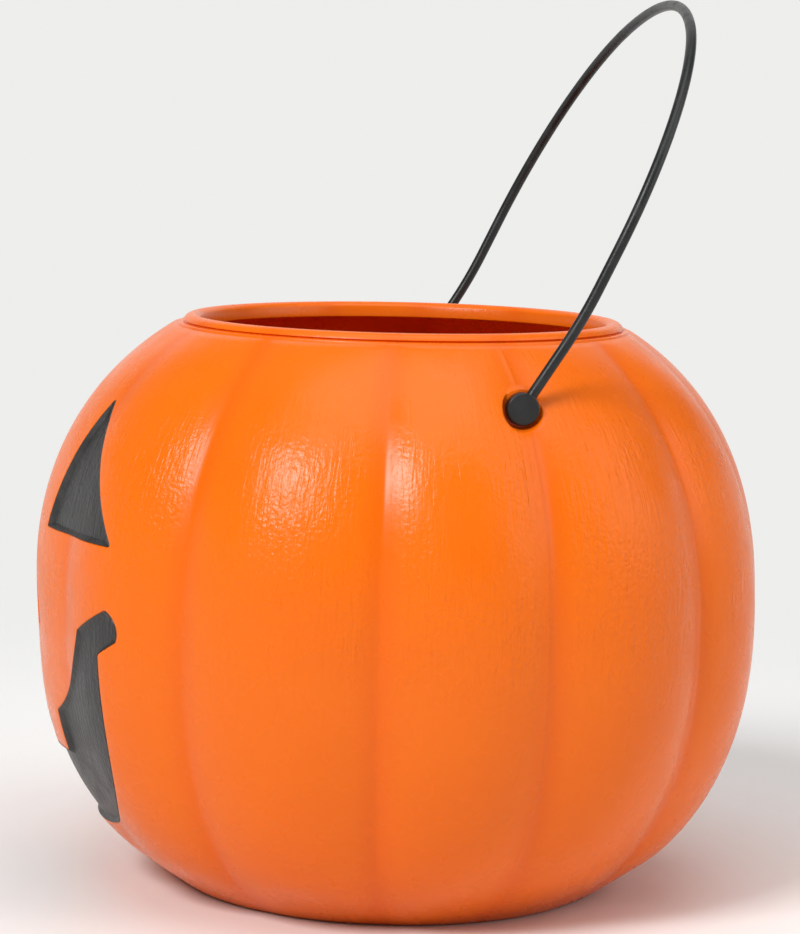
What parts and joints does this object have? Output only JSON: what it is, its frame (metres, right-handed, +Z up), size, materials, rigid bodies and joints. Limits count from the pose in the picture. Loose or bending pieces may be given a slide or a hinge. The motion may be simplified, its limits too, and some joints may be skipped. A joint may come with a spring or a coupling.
{
  "type": "pumpkin candy pail",
  "caption": "Lobed pumpkin-shaped plastic pail with a sunk, painted jack-o'-lantern face, a wide round mouth and a swinging bail for carrying sweets.",
  "frame": {"origin": "middle of the base, on the surface that the pail stands on", "axes": "+Z up, the face looks along -Y, the bail turns about X"},
  "size_m": [0.207, 0.2058, 0.2506],
  "materials": {
    "orange_shell": "semi-gloss moulded plastic with a fine upright grain on the lobes",
    "black_bail": "satin black moulded plastic",
    "face_paint": "matt black paint, slightly worn to charcoal"
  },
  "bodies": {
    "pail": {"pail_body": "orange_shell", "left_eye_paint": "face_paint", "right_eye_paint": "face_paint", "nose_paint": "face_paint", "mouth_paint": "face_paint"},
    "bail": {"bail_handle": "black_bail"}
  },
  "joints": [
    {"name": "bail_swing", "type": "hinge", "parent": "pail", "child": "bail", "pos_m": [0, 0.01833, 0.1424], "axis": [1, 0, 0], "range_deg": [-49, 76]}
  ]
}
